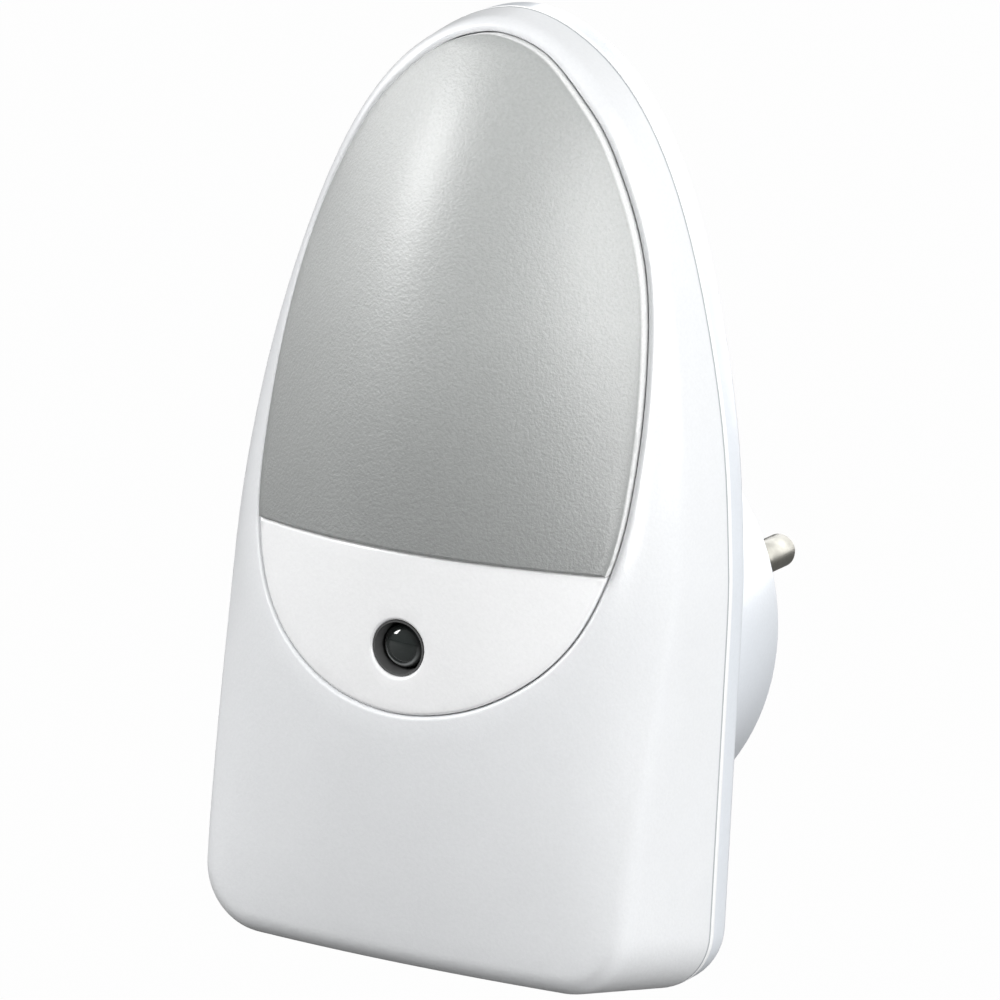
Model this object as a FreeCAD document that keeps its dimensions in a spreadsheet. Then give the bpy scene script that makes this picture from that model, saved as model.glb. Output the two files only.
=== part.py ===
import FreeCAD, Part
import math
import os
import Sketcher
from FreeCAD import Rotation, Vector

# Plug in night light with a dusk sensor, in millimetres.
# The origin is the centre of the plug's end face, midway between the pins.
# X points right, Y points into the wall and Z points up, so the lens faces -Y.

doc = FreeCAD.newDocument("night_light")

# Driving dimensions: alias, value in mm, what it is.
DIMENSIONS = [
    ("seam_back", 37.0, "seam between front cover and rear casing to the plug's end face"),
    ("crown_reach", 24.0, "depth over which the side walls of the front draw in"),
    ("side_draw", 4.0, "draw in of each side wall over that depth"),
    ("top_draw", 3.0, "draw in of the apex over that depth"),
    ("base_draw", 4.3, "draw in of the underside over that depth"),
    ("body_top", 71.9, "apex above the plug axis"),
    ("body_base", 37.3, "underside below the plug axis"),
    ("body_half", 29.4, "half the widest width"),
    ("corner_rad", 7.5, "rounding of the two lower corners seen from the front"),
    ("rim_round", 3.5, "rounding between the front and the side walls"),
    ("seam_groove", 0.25, "chamfer of cover and casing where they meet"),
    ("wall", 2.0, "wall of cover and casing"),
    ("tray_depth", 5.0, "flat part of the rear casing behind the seam"),
    ("tray_round", 2.2, "rounding of the casing's rear edge"),
    ("drum_rad", 26.8, "radius of the round drum behind the casing"),
    ("drum_reach", 19.0, "end of the drum behind the seam"),
    ("drum_round", 0.5, "rounding of the drum's rear edge"),
    ("lens_proud", 0.6, "how far the lens stands above the cover"),
    ("lens_wall", 1.6, "lens wall"),
    ("edge_gap", 0.12, "gap round lens and sensor panel"),
    ("divider_side", 13.65, "height of the line between lens and panel at its ends"),
    ("divider_mid", 14.35, "height of that line in the middle"),
    ("sensor_up", 3.4, "sensor axis above the plug axis"),
    ("sensor_hole", 3.2, "radius of the sensor hole"),
    ("sensor_lip", 0.4, "rounding of the sensor hole's edge"),
    ("sensor_rad", 2.5, "radius of the sensor's clear body"),
    ("sensor_tip", 22.0, "tip of the sensor in front of the seam"),
    ("shield_rad", 3.15, "radius of the light shield in the hole"),
    ("shield_tip", 22.5, "front edge of the light shield in front of the seam"),
    ("shield_step", 20.5, "shoulder of the light shield behind the panel"),
    ("plug_rad", 17.2, "radius of the plug body that enters the socket recess"),
    ("plug_reach", 18.0, "length of the plug body beyond the drum"),
    ("plug_floor", 4.0, "end wall of the plug body"),
    ("plug_wall", 2.5, "side wall of the plug body"),
    ("plug_round", 1.0, "rounding of the plug body's end"),
    ("pin_rad", 2.0, "radius of a pin"),
    ("pin_reach", 19.0, "pin beyond the plug's end face"),
    ("pin_half", 9.3, "half the distance between the pins"),
    ("pin_core", 1.5, "radius of a pin under its sleeve"),
    ("sleeve_rad", 1.8, "radius of the insulating sleeve"),
    ("pin_tail", 13.0, "tail of a pin inside the plug body"),
    ("pin_tip", 0.7, "rounding of a pin's tip"),
    ("sleeve_reach", 10.0, "insulating sleeve beyond the end face"),
    ("clamp_thick", 3.0, "clamp plate behind the pins' shoulders"),
    ("board_front", 7.0, "front of the circuit board before the seam"),
    ("board_thick", 1.6, "circuit board"),
    ("board_half", 20.5, "half the board's width"),
    ("led_rad", 2.5, "radius of a light emitting diode"),
    ("light_up", 34.0, "reflector axis above the plug axis"),
    ("cup_small", 9.5, "reflector radius at the board"),
    ("cup_large", 17.0, "reflector radius at the lens"),
    ("cup_deep", 6.5, "reflector depth"),
    ("screw_rad", 1.3, "radius of a self tapping screw"),
    ("head_rad", 2.5, "radius of a screw head"),
    ("screw_out", 21.0, "casing screws from the middle"),
    ("screw_down", 28.0, "casing screws below the plug axis"),
    ("post_out", 13.5, "board posts from the middle"),
    ("post_down", 24.0, "board posts below the plug axis"),
]

sheet = doc.addObject("Spreadsheet::Sheet", "Sizes")
NUMBERS = {}
for row, (alias, number, meaning) in enumerate(DIMENSIONS, start=1):
    sheet.set("A%d" % row, alias)
    sheet.set("B%d" % row, str(number))
    sheet.set("C%d" % row, meaning)
    sheet.setAlias("B%d" % row, alias)
    NUMBERS[alias] = number
doc.recompute()


def number_of(item):
    return item.number if isinstance(item, Size) else float(item)


def words_of(item):
    return item.words if isinstance(item, Size) else repr(float(item))


class Size:
    """A length together with the spreadsheet formula that gives it."""

    def __init__(self, number, words):
        self.number = number
        self.words = words

    def joined(self, other, sign, number):
        return Size(number, "(%s %s %s)" % (self.words, sign, words_of(other)))

    def __add__(self, other):
        return self.joined(other, "+", self.number + number_of(other))

    def __sub__(self, other):
        return self.joined(other, "-", self.number - number_of(other))

    def __mul__(self, other):
        return self.joined(other, "*", self.number * number_of(other))

    def __neg__(self):
        return Size(-self.number, "(0 - %s)" % self.words)


def size(alias):
    return Size(float(sheet.get(alias)), "Sizes." + alias)


def bind(item, name, amount):
    """Give a property its number, and its formula where it has one."""
    if isinstance(amount, Size):
        item.setExpression(name, amount.words)


def place(item, corner, rotation=None):
    item.Placement = FreeCAD.Placement(
        Vector(*[number_of(part) for part in corner]), rotation or Rotation()
    )
    for axis, part in zip("xyz", corner):
        bind(item, "Placement.Base." + axis, part)


PARTS = []


def finished(item, label):
    """Name a finished piece, so that it is written to its own file."""
    item.Label = label
    PARTS.append(item)
    return item


def block(name, corner, lengths):
    item = doc.addObject("Part::Box", name)
    for prop, amount in zip(("Length", "Width", "Height"), lengths):
        setattr(item, prop, number_of(amount))
        bind(item, prop, amount)
    place(item, corner)
    return item


# Turning a cylinder about X by -90 degrees lays its axis along +Y.
TO_WALL = Rotation(Vector(1, 0, 0), -90)
ACROSS = Rotation(Vector(0, 1, 0), 90)


def rod(name, start, radius, length, turn=TO_WALL):
    item = doc.addObject("Part::Cylinder", name)
    item.Radius = number_of(radius)
    item.Height = number_of(length)
    bind(item, "Radius", radius)
    bind(item, "Height", length)
    place(item, start, turn)
    return item


def fused(name, items):
    item = doc.addObject("Part::MultiFuse", name)
    item.Shapes = items
    return item


def cut(name, base, tools):
    item = doc.addObject("Part::Cut", name)
    item.Base = base
    item.Tool = tools[0] if len(tools) == 1 else fused(name + "_tools", tools)
    return item


def group(name, items):
    item = doc.addObject("Part::Compound", name)
    item.Links = items
    return item


def shaped(name, shape):
    item = doc.addObject("Part::Feature", name)
    item.Shape = shape
    return item


def origin_plane(body, role):
    for item in body.Origin.OriginFeatures:
        if item.Role == role:
            return item
    raise RuntimeError("no plane " + role)


def outline_sketch(body, name, role, corners):
    """Draw a closed polygon whose corners are tied to the sheet."""
    sketch = body.newObject("Sketcher::SketchObject", name)
    sketch.AttachmentSupport = [(origin_plane(body, role), "")]
    sketch.MapMode = "FlatFace"
    points = [Vector(number_of(a), number_of(b), 0) for a, b in corners]
    count = len(points)
    for index in range(count):
        sketch.addGeometry(Part.LineSegment(points[index], points[(index + 1) % count]))
    for index in range(count):
        after = (index + 1) % count
        sketch.addConstraint(Sketcher.Constraint("Coincident", index, 2, after, 1))
    for index, corner in enumerate(corners):
        for kind, axis, amount in (("DistanceX", -2, corner[0]), ("DistanceY", -1, corner[1])):
            if number_of(amount) == 0.0:
                sketch.addConstraint(Sketcher.Constraint("PointOnObject", index, 1, axis))
                continue
            row = sketch.addConstraint(
                Sketcher.Constraint(kind, -1, 1, index, 1, number_of(amount))
            )
            bind(sketch, "Constraints[%d]" % row, amount)
    return sketch


def turned(name, corners, centre=(0, 0, 0)):
    """A turned piece about an axis along Y: corners are (radius, y) pairs."""
    body = doc.addObject("PartDesign::Body", name)
    sketch = outline_sketch(body, name + "_profile", "XY_Plane", corners)
    spin = body.newObject("PartDesign::Revolution", name + "_turn")
    spin.Profile = sketch
    spin.ReferenceAxis = (sketch, ["V_Axis"])
    spin.Angle = 360
    body.Tip = spin
    place(body, centre)
    return body


SEAM = -size("seam_back")
SEAM_Y = SEAM.number
WALL = NUMBERS["wall"]

# Outline of the body at the seam, from the apex down the right side.
ARCH = [
    (0.0, 71.9), (3.85, 71.3), (7.9, 69.5), (11.9, 66.6), (16.8, 60.7), (20.9, 52.6),
    (24.4, 41.9), (26.7, 32.3), (28.3, 22.4), (29.1, 13.6), (29.4, 3.0),
]

# Front surface: its depth before the seam at the middle, and how fast it
# falls away to the sides, at each height.
CROWN_UP = [-38.0, -30.0, -20.0, -8.0, 2.0, 13.0, 25.0, 37.0, 49.0, 61.0, 70.0, 74.0]
CROWN_MID = [19.3, 20.6, 21.9, 22.8, 22.9, 22.3, 21.6, 20.3, 17.6, 12.3, 6.0, 2.6]
CROWN_FALL = [
    0.004, 0.005, 0.0075, 0.0105, 0.012, 0.0137, 0.0175, 0.0215, 0.026, 0.029, 0.030, 0.030,
]

# Cheeks: beyond this distance from the middle the front falls away faster.
CHEEK_UP = [-45.0, -25.0, -5.0, 10.0, 25.0, 40.0, 52.0, 62.0, 70.0, 76.0]
CHEEK_FROM = [25.0, 22.0, 18.9, 21.3, 23.2, 22.0, 18.8, 13.5, 7.0, 3.5]
STEEP_BY = [0.02, 0.02, 0.022, 0.055, 0.08, 0.075, 0.055, 0.03, 0.008, 0.004]

# Oval that lens and sensor panel fill together, right half from the top.
OVAL = [
    (0.0, 69.8), (3.2, 69.3), (6.1, 68.1), (8.9, 66.0), (11.3, 63.6), (13.2, 61.4),
    (16.6, 55.7), (19.2, 49.6), (20.9, 43.6), (22.0, 36.8), (22.6, 29.5), (22.7, 23.0),
    (22.3, 16.4), (21.1, 11.0), (19.5, 6.9), (16.7, 2.9), (13.0, -0.2), (8.6, -2.5),
    (4.2, -3.7), (0.0, -4.1),
]


def spline_through(xs, ys):
    """Second derivatives of a natural cubic spline through the points."""
    count = len(xs)
    bend = [0.0] * count
    work = [0.0] * count
    for i in range(1, count - 1):
        ratio = (xs[i] - xs[i - 1]) / (xs[i + 1] - xs[i - 1])
        pivot = ratio * bend[i - 1] + 2.0
        bend[i] = (ratio - 1.0) / pivot
        step = (ys[i + 1] - ys[i]) / (xs[i + 1] - xs[i])
        step -= (ys[i] - ys[i - 1]) / (xs[i] - xs[i - 1])
        work[i] = (6.0 * step / (xs[i + 1] - xs[i - 1]) - ratio * work[i - 1]) / pivot
    for i in range(count - 2, -1, -1):
        bend[i] = bend[i] * bend[i + 1] + work[i]
    return bend


def spline_at(xs, ys, bend, x):
    i = 0
    while i < len(xs) - 2 and x > xs[i + 1]:
        i += 1
    gap = xs[i + 1] - xs[i]
    a = (xs[i + 1] - x) / gap
    b = (x - xs[i]) / gap
    curve = ((a ** 3 - a) * bend[i] + (b ** 3 - b) * bend[i + 1]) * gap * gap / 6.0
    return a * ys[i] + b * ys[i + 1] + curve


MID_BEND = spline_through(CROWN_UP, CROWN_MID)
FALL_BEND = spline_through(CROWN_UP, CROWN_FALL)
FROM_BEND = spline_through(CHEEK_UP, CHEEK_FROM)
STEEP_BEND = spline_through(CHEEK_UP, STEEP_BY)


def crown_depth(x, z):
    """Depth of the front surface before the seam."""
    middle = spline_at(CROWN_UP, CROWN_MID, MID_BEND, z)
    fall = spline_at(CROWN_UP, CROWN_FALL, FALL_BEND, z)
    beyond = max(0.0, abs(x) - spline_at(CHEEK_UP, CHEEK_FROM, FROM_BEND, z))
    steep = spline_at(CHEEK_UP, STEEP_BY, STEEP_BEND, z)
    return middle - fall * x * x - steep * beyond * beyond


def crown_block(raise_by):
    """Everything behind the front surface, moved forwards by raise_by."""
    rows = []
    for i in range(40):
        z = -41.0 + i * 115.0 / 39.0
        row = []
        for j in range(29):
            x = -35.0 + j * 2.5
            row.append(Vector(x, SEAM_Y - crown_depth(x, z) - raise_by, z))
        rows.append(row)
    surface = Part.BSplineSurface()
    surface.interpolate(rows)
    return surface.toShape().extrude(Vector(0, 90, 0))


def smooth_closed(points):
    curve = Part.BSplineCurve()
    curve.interpolate(points, PeriodicFlag=True)
    return curve.toShape()


def ring_points(half, y, scale_out=0.0):
    """Both halves of a closed outline, moved outwards by scale_out."""
    right = [(x, z) for x, z in half]
    left = [(-x, z) for x, z in reversed(half[1:-1])]
    loop = right + left
    count = len(loop)
    out = []
    for i, (x, z) in enumerate(loop):
        before = loop[i - 1]
        after = loop[(i + 1) % count]
        along = Vector(after[0] - before[0], 0, after[1] - before[1])
        along.normalize()
        out.append(Vector(x - along.z * scale_out, y, z + along.x * scale_out))
    return out


def oval_prism(grow, start, reach):
    edge = smooth_closed(ring_points(OVAL, start, grow))
    return Part.Face(Part.Wire([edge])).extrude(Vector(0, reach, 0))


def body_wire(y, inset):
    """Outline of the body at y, drawn in towards the front and by inset."""
    ahead = (SEAM_Y - y) / NUMBERS["crown_reach"] if y < SEAM_Y else 0.0
    side = NUMBERS["side_draw"] * ahead + inset
    top = NUMBERS["top_draw"] * ahead + inset
    base = NUMBERS["base_draw"] * ahead + inset
    half = NUMBERS["body_half"]
    high = NUMBERS["body_top"]
    wide = (half - side) / half
    tall = (high - top) / high

    def spot(x, z):
        return Vector(x * wide, y, z * tall)

    arch = [spot(-x, z) for x, z in reversed(ARCH)] + [spot(x, z) for x, z in ARCH[1:]]
    curve = Part.BSplineCurve()
    curve.interpolate(arch, InitialTangent=Vector(0, 0, 1), FinalTangent=Vector(0, 0, -1))
    middle = curve.parameter(spot(0.0, high))
    left_arch = curve.copy()
    left_arch.segment(curve.FirstParameter, middle)
    right_arch = curve.copy()
    right_arch.segment(middle, curve.LastParameter)
    side_x = half - side
    floor = -NUMBERS["body_base"] + base
    bend = max(NUMBERS["corner_rad"] - inset, 1.5)
    shift = bend * 0.5 ** 0.5
    right_end = arch[-1]
    left_end = arch[0]

    def arc(start, middle, end):
        return Part.Arc(start, middle, end).toShape()

    right_low = Vector(side_x, y, floor + bend)
    right_mid = Vector(side_x - bend + shift, y, floor + bend - shift)
    right_in = Vector(side_x - bend, y, floor)
    left_in = Vector(-side_x + bend, y, floor)
    left_mid = Vector(-side_x + bend - shift, y, floor + bend - shift)
    left_low = Vector(-side_x, y, floor + bend)
    edges = [
        left_arch.toShape(),
        right_arch.toShape(),
        Part.makeLine(right_end, right_low),
        arc(right_low, right_mid, right_in),
        Part.makeLine(right_in, left_in),
        arc(left_in, left_mid, left_low),
        Part.makeLine(left_low, left_end),
    ]
    return Part.Wire(edges)


def tapered(inset):
    """Front half of the body as a tapered block, before it is crowned."""
    ahead = SEAM_Y - NUMBERS["crown_reach"] - 4.0
    return Part.makeLoft([body_wire(SEAM_Y, inset), body_wire(ahead, inset)], True, True)


def on_crown(edge, lift):
    """True where an edge lies on the front surface."""
    for part in (0.2, 0.5, 0.8):
        first, last = edge.ParameterRange
        spot = edge.valueAt(first + part * (last - first))
        if abs(SEAM_Y - crown_depth(spot.x, spot.z) - lift - spot.y) > 0.05:
            return False
    return True



def lone(shape):
    """The single solid of a shape."""
    solids = shape.Solids
    if len(solids) != 1:
        raise RuntimeError("expected one solid, found %d" % len(solids))
    return solids[0]


def slab_below(drop):
    """Everything below the arched line between lens and panel."""
    side = NUMBERS["divider_side"] - drop
    mid = NUMBERS["divider_mid"] - drop
    half = 21.3
    radius = (half ** 2 + (mid - side) ** 2) / (2.0 * (mid - side))
    reach = 34.0
    low = mid - radius + (radius ** 2 - reach ** 2) ** 0.5
    start = Vector(-reach, SEAM_Y - 35.0, low)
    end = Vector(reach, SEAM_Y - 35.0, low)
    line = Part.Arc(start, Vector(0, SEAM_Y - 35.0, mid), end).toShape()
    foot_end = Vector(reach, SEAM_Y - 35.0, -50.0)
    foot_start = Vector(-reach, SEAM_Y - 35.0, -50.0)
    loop = [
        line, Part.makeLine(end, foot_end), Part.makeLine(foot_end, foot_start),
        Part.makeLine(foot_start, start),
    ]
    return Part.Face(Part.Wire(loop)).extrude(Vector(0, 40, 0))


def band(low, high):
    return Part.makeBox(80, 80, high - low, Vector(-40, SEAM_Y - 40, low))


# Front half of the body: tapered, crowned and rounded along its front rim.
front_block = shaped("front_block", lone(tapered(0.0).common(crown_block(0.0))))
rounded = doc.addObject("Part::Fillet", "front_rounded")
rounded.Base = front_block
rim_round = NUMBERS["rim_round"]
rounded.Edges = [
    (index, rim_round, rim_round)
    for index, edge in enumerate(front_block.Shape.Edges, start=1)
    if on_crown(edge, 0.0)
]
doc.recompute()
outer = lone(rounded.Shape)

FRONT = SEAM_Y - 45.0
inner = tapered(WALL).common(crown_block(-WALL))
opening = oval_prism(0.0, FRONT, 45.0)

# Posts inside the cover: two for the casing screws, two for the board.
screw_rad = NUMBERS["screw_rad"]
posts = []
holes = []
for side in (-1, 1):
    at = Vector(side * NUMBERS["screw_out"], SEAM_Y, -NUMBERS["screw_down"])
    posts.append(Part.makeCylinder(3.2, 30.0, at, Vector(0, -1, 0)))
    holes.append(Part.makeCylinder(screw_rad, 10.6, at, Vector(0, -1, 0)))
    level = SEAM_Y - NUMBERS["board_front"]
    at = Vector(side * NUMBERS["post_out"], level, -NUMBERS["post_down"])
    posts.append(Part.makeCylinder(2.8, 25.0, at, Vector(0, -1, 0)))
    holes.append(Part.makeCylinder(screw_rad, 6.2, at, Vector(0, -1, 0)))

skin = outer.cut(inner)
for post in posts:
    skin = skin.fuse(post.common(outer))
skin = skin.cut(opening)
for hole in holes:
    skin = skin.cut(hole)
skin = lone(skin.removeSplitter())


def on_oval(edge):
    """True for an edge of the front surface away from the outer rim."""
    if not on_crown(edge, 0.0):
        return False
    spot = edge.valueAt(0.5 * (edge.FirstParameter + edge.LastParameter))
    return oval_prism(0.3, FRONT, 45.0).isInside(spot, 0.01, True)


mouth = [edge for edge in skin.Edges if on_oval(edge)]
cover_shape = lone(skin.makeFillet(0.5, mouth))
groove = NUMBERS["seam_groove"]
bevel = Part.makeLoft([body_wire(SEAM_Y, groove), body_wire(SEAM_Y - groove, 0.0)], True, True)
seam_slab = Part.makeBox(80, groove, 140, Vector(-40, SEAM_Y - groove, -50))
cover_shape = lone(cover_shape.cut(seam_slab.cut(bevel)))
cover = finished(shaped("front_cover", cover_shape), "front_cover")

# Lens: a domed skin with a skirt, and a lip behind the cover on both sides.
GAP = NUMBERS["edge_gap"]
SKIRT = 1.7
within = oval_prism(-GAP, FRONT, 45.0)
hollow = oval_prism(-SKIRT, FRONT, 45.0)
behind = crown_block(-3.2)
lip = oval_prism(1.2, FRONT, 45.0).cut(hollow).common(crown_block(-WALL - 0.12)).cut(behind)
proud = NUMBERS["lens_proud"]
lens_back = crown_block(proud - NUMBERS["lens_wall"])
lens_shape = within.common(crown_block(proud)).cut(behind).cut(hollow.common(lens_back))
lens_shape = lens_shape.fuse(lip.common(band(15.0, 34.0)))
lens_shape = lone(lens_shape.cut(slab_below(0.0)).removeSplitter())
front_edges = [edge for edge in lens_shape.Edges if on_crown(edge, proud)]
lens_shape = lone(lens_shape.makeChamfer(0.35, front_edges))
lens = finished(shaped("lens", lens_shape), "lens")

# Sensor panel: flush with the cover, edges rounded so that a groove shows.
panel_shape = within.common(crown_block(0.0)).cut(behind)
panel_shape = panel_shape.cut(hollow.common(crown_block(-WALL)))
panel_shape = panel_shape.fuse(lip.common(band(-6.0, 12.0)))
panel_shape = lone(panel_shape.common(slab_below(GAP)).removeSplitter())
front_edges = [edge for edge in panel_shape.Edges if on_crown(edge, 0.0)]
panel_shape = lone(panel_shape.makeFillet(0.5, front_edges))
sensor_z = NUMBERS["sensor_up"]
hole_rad = NUMBERS["sensor_hole"]
bore_start = Vector(0, SEAM_Y - 15.0, sensor_z)
bore = Part.makeCylinder(hole_rad, 15.0, bore_start, Vector(0, -1, 0))
panel_shape = lone(panel_shape.cut(bore))
lip_edges = []
for edge in panel_shape.Edges:
    spot = edge.valueAt(0.5 * (edge.FirstParameter + edge.LastParameter))
    if on_crown(edge, 0.0) and abs(math.hypot(spot.x, spot.z - sensor_z) - hole_rad) < 0.02:
        lip_edges.append(edge)
panel_shape = lone(panel_shape.makeFillet(NUMBERS["sensor_lip"], lip_edges))
panel = finished(shaped("sensor_panel", panel_shape), "sensor_panel")

# Rear casing: a shallow tray with a round drum, both open to the front.
tray_end = SEAM_Y + NUMBERS["tray_depth"]
tray = Part.Face(body_wire(SEAM_Y + groove, 0.0))
tray = tray.extrude(Vector(0, NUMBERS["tray_depth"] - groove, 0))
tray_rim = [edge for edge in tray.Edges if edge.BoundBox.YMin > tray_end - 0.01]
tray = lone(tray.makeFillet(NUMBERS["tray_round"], tray_rim))
tray_lip = Part.makeLoft([body_wire(SEAM_Y, groove), body_wire(SEAM_Y + groove, 0.0)], True, True)
tray = shaped("tray_outside", lone(tray.fuse(tray_lip).removeSplitter()))
tray_deep = NUMBERS["tray_depth"] - WALL
tray_hollow = shaped(
    "tray_inside", Part.Face(body_wire(SEAM_Y, WALL)).extrude(Vector(0, tray_deep, 0))
)
drum_rad = size("drum_rad")
drum_reach = size("drum_reach")
drum_round = size("drum_round")
wall = size("wall")
drum = turned("drum_outside", [
    (0, SEAM + 2.5), (drum_rad, SEAM + 2.5), (drum_rad, SEAM + drum_reach - drum_round),
    (drum_rad - drum_round * 0.3, SEAM + drum_reach - drum_round * 0.3),
    (drum_rad - drum_round, SEAM + drum_reach), (0, SEAM + drum_reach),
])
plug_rad = size("plug_rad")
drum_hollow = turned("drum_inside", [
    (0, SEAM - 1.0), (drum_rad - wall, SEAM - 1.0),
    (drum_rad - wall, SEAM + drum_reach - wall), (plug_rad + 0.05, SEAM + drum_reach - wall),
    (plug_rad + 0.05, SEAM + drum_reach + 1.0), (0, SEAM + drum_reach + 1.0),
])
tongue = block("tongue", (-4.0, SEAM - 4.0, 65.8), (8.0, size("tray_depth") + 2.6, 2.2))
screw_out = size("screw_out")
screw_down = -size("screw_down")
seats = []
bores = []
for side, where in (("left", -screw_out), ("right", screw_out)):
    seats.append(rod("seat_" + side, (where, SEAM, screw_down), 3.4, size("tray_depth") - 1.0))
    bores.append(rod("bore_" + side, (where, SEAM - 1.0, screw_down), 1.6, 8.0))
    head_at = (where, SEAM + size("tray_depth") - 1.7, screw_down)
    bores.append(rod("counterbore_" + side, head_at, 2.9, 3.0))
shell = cut("casing_shell", fused("casing_outside", [tray, drum]), [tray_hollow, drum_hollow])
solid_casing = fused("casing_solid", [shell, tongue] + seats)
casing = finished(cut("rear_casing", solid_casing, bores), "rear_casing")

# Plug body: a round cup that fills the socket's recess, with a flange
# behind the drum's end wall.
plug_reach = -size("plug_reach")
plug_wall = size("plug_wall")
plug_floor = -size("plug_floor")
plug_round = size("plug_round")
cup = turned("plug_cup", [
    (plug_rad - plug_wall, plug_reach - wall - 2.0), (plug_rad + 3.2, plug_reach - wall - 2.0),
    (plug_rad + 3.2, plug_reach - wall), (plug_rad, plug_reach - wall),
    (plug_rad, -plug_round), (plug_rad - plug_round * 0.3, -plug_round * 0.3),
    (plug_rad - plug_round, 0), (0, 0), (0, plug_floor), (plug_rad - plug_wall, plug_floor),
])
pin_half = size("pin_half")
pin_rad = size("pin_rad")
sleeve_rad = size("sleeve_rad")
clamp_screw_out = 4.2
passages = []
for side, where in (("left", -pin_half), ("right", pin_half)):
    passages.append(rod("passage_" + side, (where, -6.0, 0), sleeve_rad, 8.0))
for side in (-1, 1):
    start = (side * clamp_screw_out, -7.0, 0)
    passages.append(rod("pilot_%d" % (side + 1), start, size("screw_rad"), 5.6))
finished(cut("plug_body", cup, passages), "plug_body")

# Pins: bare nickel tips, thinner under the insulating sleeves.
core = size("pin_core")
reach = size("pin_reach")
sleeve_end = size("sleeve_reach")
tip = size("pin_tip")
tail = -size("pin_tail")
for side, where in (("left", -pin_half), ("right", pin_half)):
    finished(turned("pin_" + side, [
        (0, tail), (core, tail), (core, plug_floor - 1.0), (pin_rad + 0.6, plug_floor - 1.0),
        (pin_rad + 0.6, plug_floor), (core, plug_floor), (core, sleeve_end),
        (pin_rad, sleeve_end), (pin_rad, reach - tip),
        (pin_rad - tip * 0.3, reach - tip * 0.3), (pin_rad - tip, reach), (0, reach),
    ], (where, 0, 0)), "pin_" + side)
    finished(turned("sleeve_" + side, [
        (core, plug_floor), (sleeve_rad, plug_floor), (sleeve_rad, sleeve_end),
        (core, sleeve_end),
    ], (where, 0, 0)), "sleeve_" + side)

# Clamp plate that presses the pins' shoulders against the floor.
clamp_thick = size("clamp_thick")
plate_start = plug_floor - 1.0 - clamp_thick
plate = block("clamp_plate", (-13.4, plate_start, -4.4), (26.8, clamp_thick, 8.8))
plate_holes = []
for side, where in (("left", -pin_half), ("right", pin_half)):
    start = (where, plate_start - 1.0, 0)
    plate_holes.append(rod("plate_hole_" + side, start, core + 0.1, 6.0))
for side in (-1, 1):
    start = (side * clamp_screw_out, plate_start - 1.0, 0)
    plate_holes.append(rod("plate_bore_%d" % (side + 1), start, 1.5, 6.0))
finished(cut("pin_clamp", plate, plate_holes), "pin_clamp")

head_rad = size("head_rad")
shank = size("screw_rad")


def screw(name, where, length, forward):
    """Pan head screw; the head's underside is at where, forward is -1 or 1."""
    head = 1.5
    body = turned(name + "_blank", [
        (0, -forward * head), (head_rad - 0.7, -forward * head), (head_rad, -forward * 0.7),
        (head_rad, 0), (shank, 0), (shank, forward * (length - 1.0)),
        (0.3, forward * length), (0, forward * length),
    ], where)
    x, y, z = where
    start = y - forward * head if forward < 0 else y - head - 1.0
    recess = []
    for word, wide, high in (("flat", 2.6, 0.55), ("tall", 0.55, 2.6)):
        low = start - 0.9 if forward < 0 else start
        corner = (x - 0.5 * wide, low, z - 0.5 * high)
        recess.append(block("%s_%s" % (name, word), corner, (wide, 1.9, high)))
    return cut(name, body, recess)


clamp_screws = [
    screw("clamp_screw_%d" % (side + 1), (side * clamp_screw_out, plate_start, 0), 6.2, 1)
    for side in (-1, 1)
]
finished(group("clamp_screws", clamp_screws), "clamp_screws")
casing_screws = [
    screw("casing_screw_" + side, (where, SEAM + size("tray_depth") - 1.7, screw_down), 13.0, -1)
    for side, where in (("left", -screw_out), ("right", screw_out))
]
finished(group("casing_screws", casing_screws), "casing_screws")

# Circuit board across the cover, screwed to two posts.
board_face = SEAM - size("board_front")
board_back = board_face + size("board_thick")
board_half = size("board_half")
board_body = doc.addObject("PartDesign::Body", "board_plate")
corners = [
    (17.2, -31.0), (17.2, -23.4), (board_half, -23.4), (board_half, 22.0), (13.5, 45.5),
    (-13.5, 45.5), (-board_half, 22.0), (-board_half, -23.4), (-17.2, -23.4), (-17.2, -31.0),
]
board_sketch = outline_sketch(board_body, "board_outline", "XZ_Plane", corners)
pad = board_body.newObject("PartDesign::Pad", "board_pad")
pad.Profile = board_sketch
pad.Length = NUMBERS["board_thick"]
pad.setExpression("Length", "Sizes.board_thick")
board_body.Tip = pad
place(board_body, (0, board_back, 0))

light_up = size("light_up")
led_rad = size("led_rad")
LED_SPOTS = [(0.0, 5.4), (-4.9, -3.0), (4.9, -3.0)]
LEAD_RAD = 0.3
lead_runs = []


def lead(name, x, z, front, back):
    """A straight wire through the board between two depths."""
    lead_runs.append((x, z))
    return rod(name, (x, front, z), LEAD_RAD, back - front)


leds = []
led_leads = []
back_stop = board_back + 1.2
for index, (x, up) in enumerate(LED_SPOTS):
    z = light_up + up
    leds.append(turned("led_%d" % index, [
        (0, board_face), (led_rad + 0.4, board_face), (led_rad + 0.4, board_face - 1.0),
        (led_rad, board_face - 1.0), (led_rad, board_face - 6.2),
        (led_rad * 0.87, board_face - 7.4), (led_rad * 0.5, board_face - 8.4),
        (led_rad * 0.2, board_face - 8.7), (0, board_face - 8.75),
    ], (x, 0, z)))
    for side in (-1, 1):
        run = lead("led_lead_%d_%d" % (index, side + 1), x + side * 1.27, z, board_face, back_stop)
        led_leads.append(run)
finished(group("leds", leds), "leds")

# Reflector cup between board and lens.
small = size("cup_small")
large = size("cup_large")
cup_deep = -size("cup_deep")
finished(turned("reflector", [
    (small, board_face - 0.1), (small + 2.5, board_face - 0.1), (small + 2.5, board_face - 1.1),
    (small + 1.4, board_face - 1.1), (large + 1.2, board_face + cup_deep),
    (large, board_face + cup_deep),
], (0, 0, light_up)), "reflector")

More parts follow.
